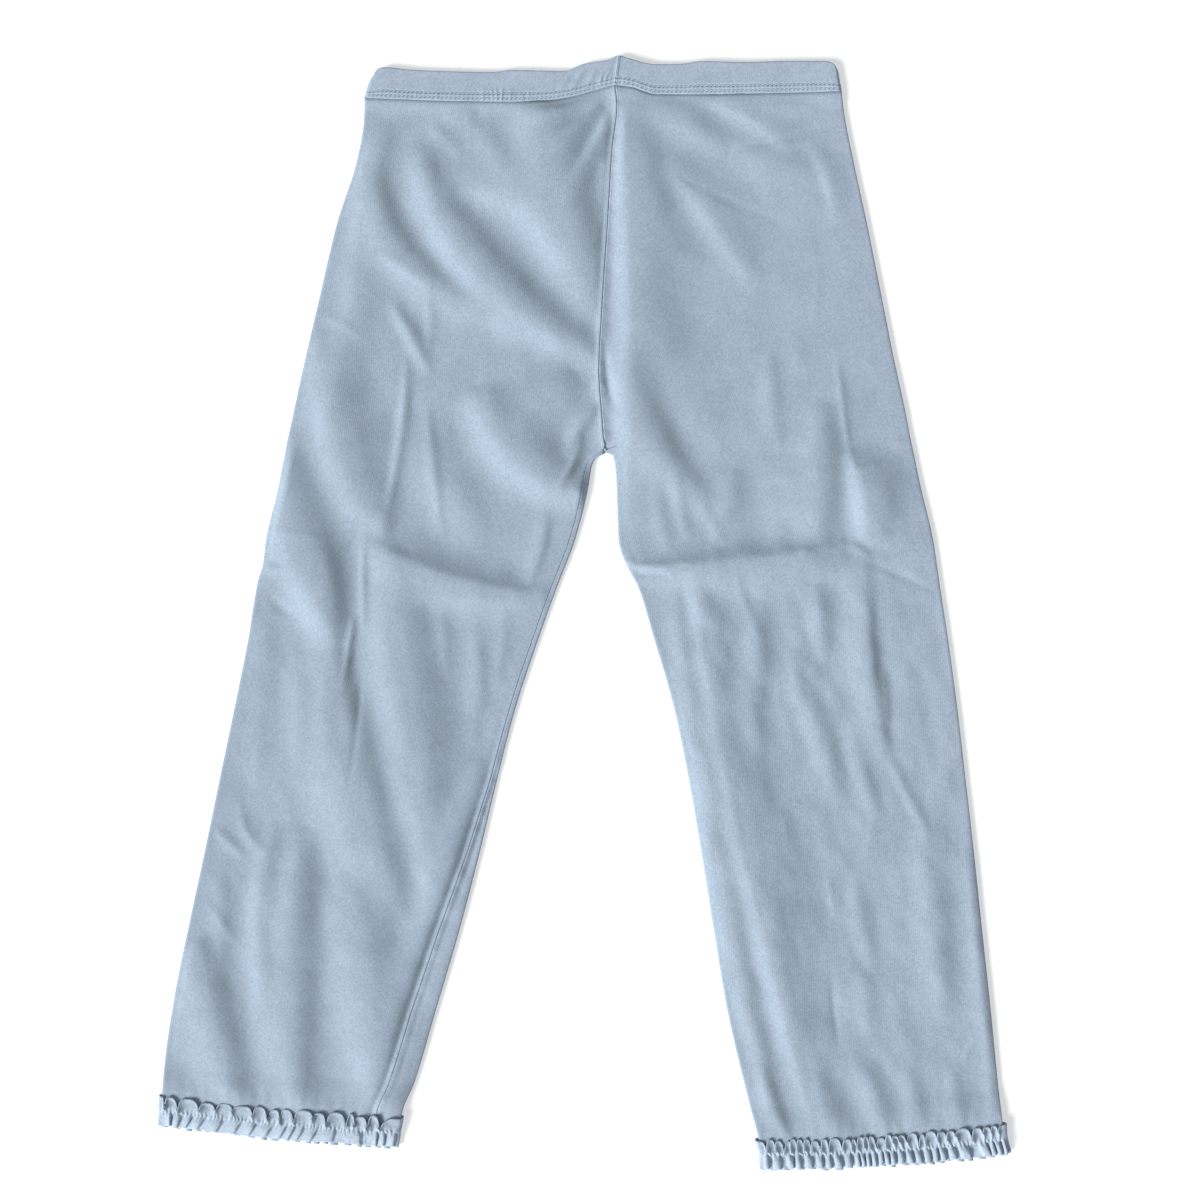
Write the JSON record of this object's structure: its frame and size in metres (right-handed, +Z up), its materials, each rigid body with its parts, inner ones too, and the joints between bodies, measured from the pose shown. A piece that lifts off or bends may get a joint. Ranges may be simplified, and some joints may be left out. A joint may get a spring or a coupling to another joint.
{
  "type": "leggings",
  "caption": "Cropped jersey leggings lying flat, with a coverstitched elastic casing at the waist and a gathered double-edged ruffle round each hem.",
  "frame": {"origin": "under the middle of the garment's outline, on the surface that it lies on", "axes": "+X to the right as seen from above with the waist up, +Y along the garment to its waist, +Z up, out of its front"},
  "size_m": [0.4966, 0.6451, 0.0083],
  "materials": {
    "leg_jersey": "matt pale ice-blue cotton jersey",
    "casing_jersey": "the same jersey, turned over elastic and coverstitched",
    "ruffle_jersey": "the same jersey, gathered"
  },
  "bodies": {
    "root": {"leg_left": "leg_jersey", "leg_right": "leg_jersey", "waistband_left": "casing_jersey", "waistband_right": "casing_jersey", "ruffle_left": "ruffle_jersey", "ruffle_right": "ruffle_jersey"}
  },
  "joints": []
}
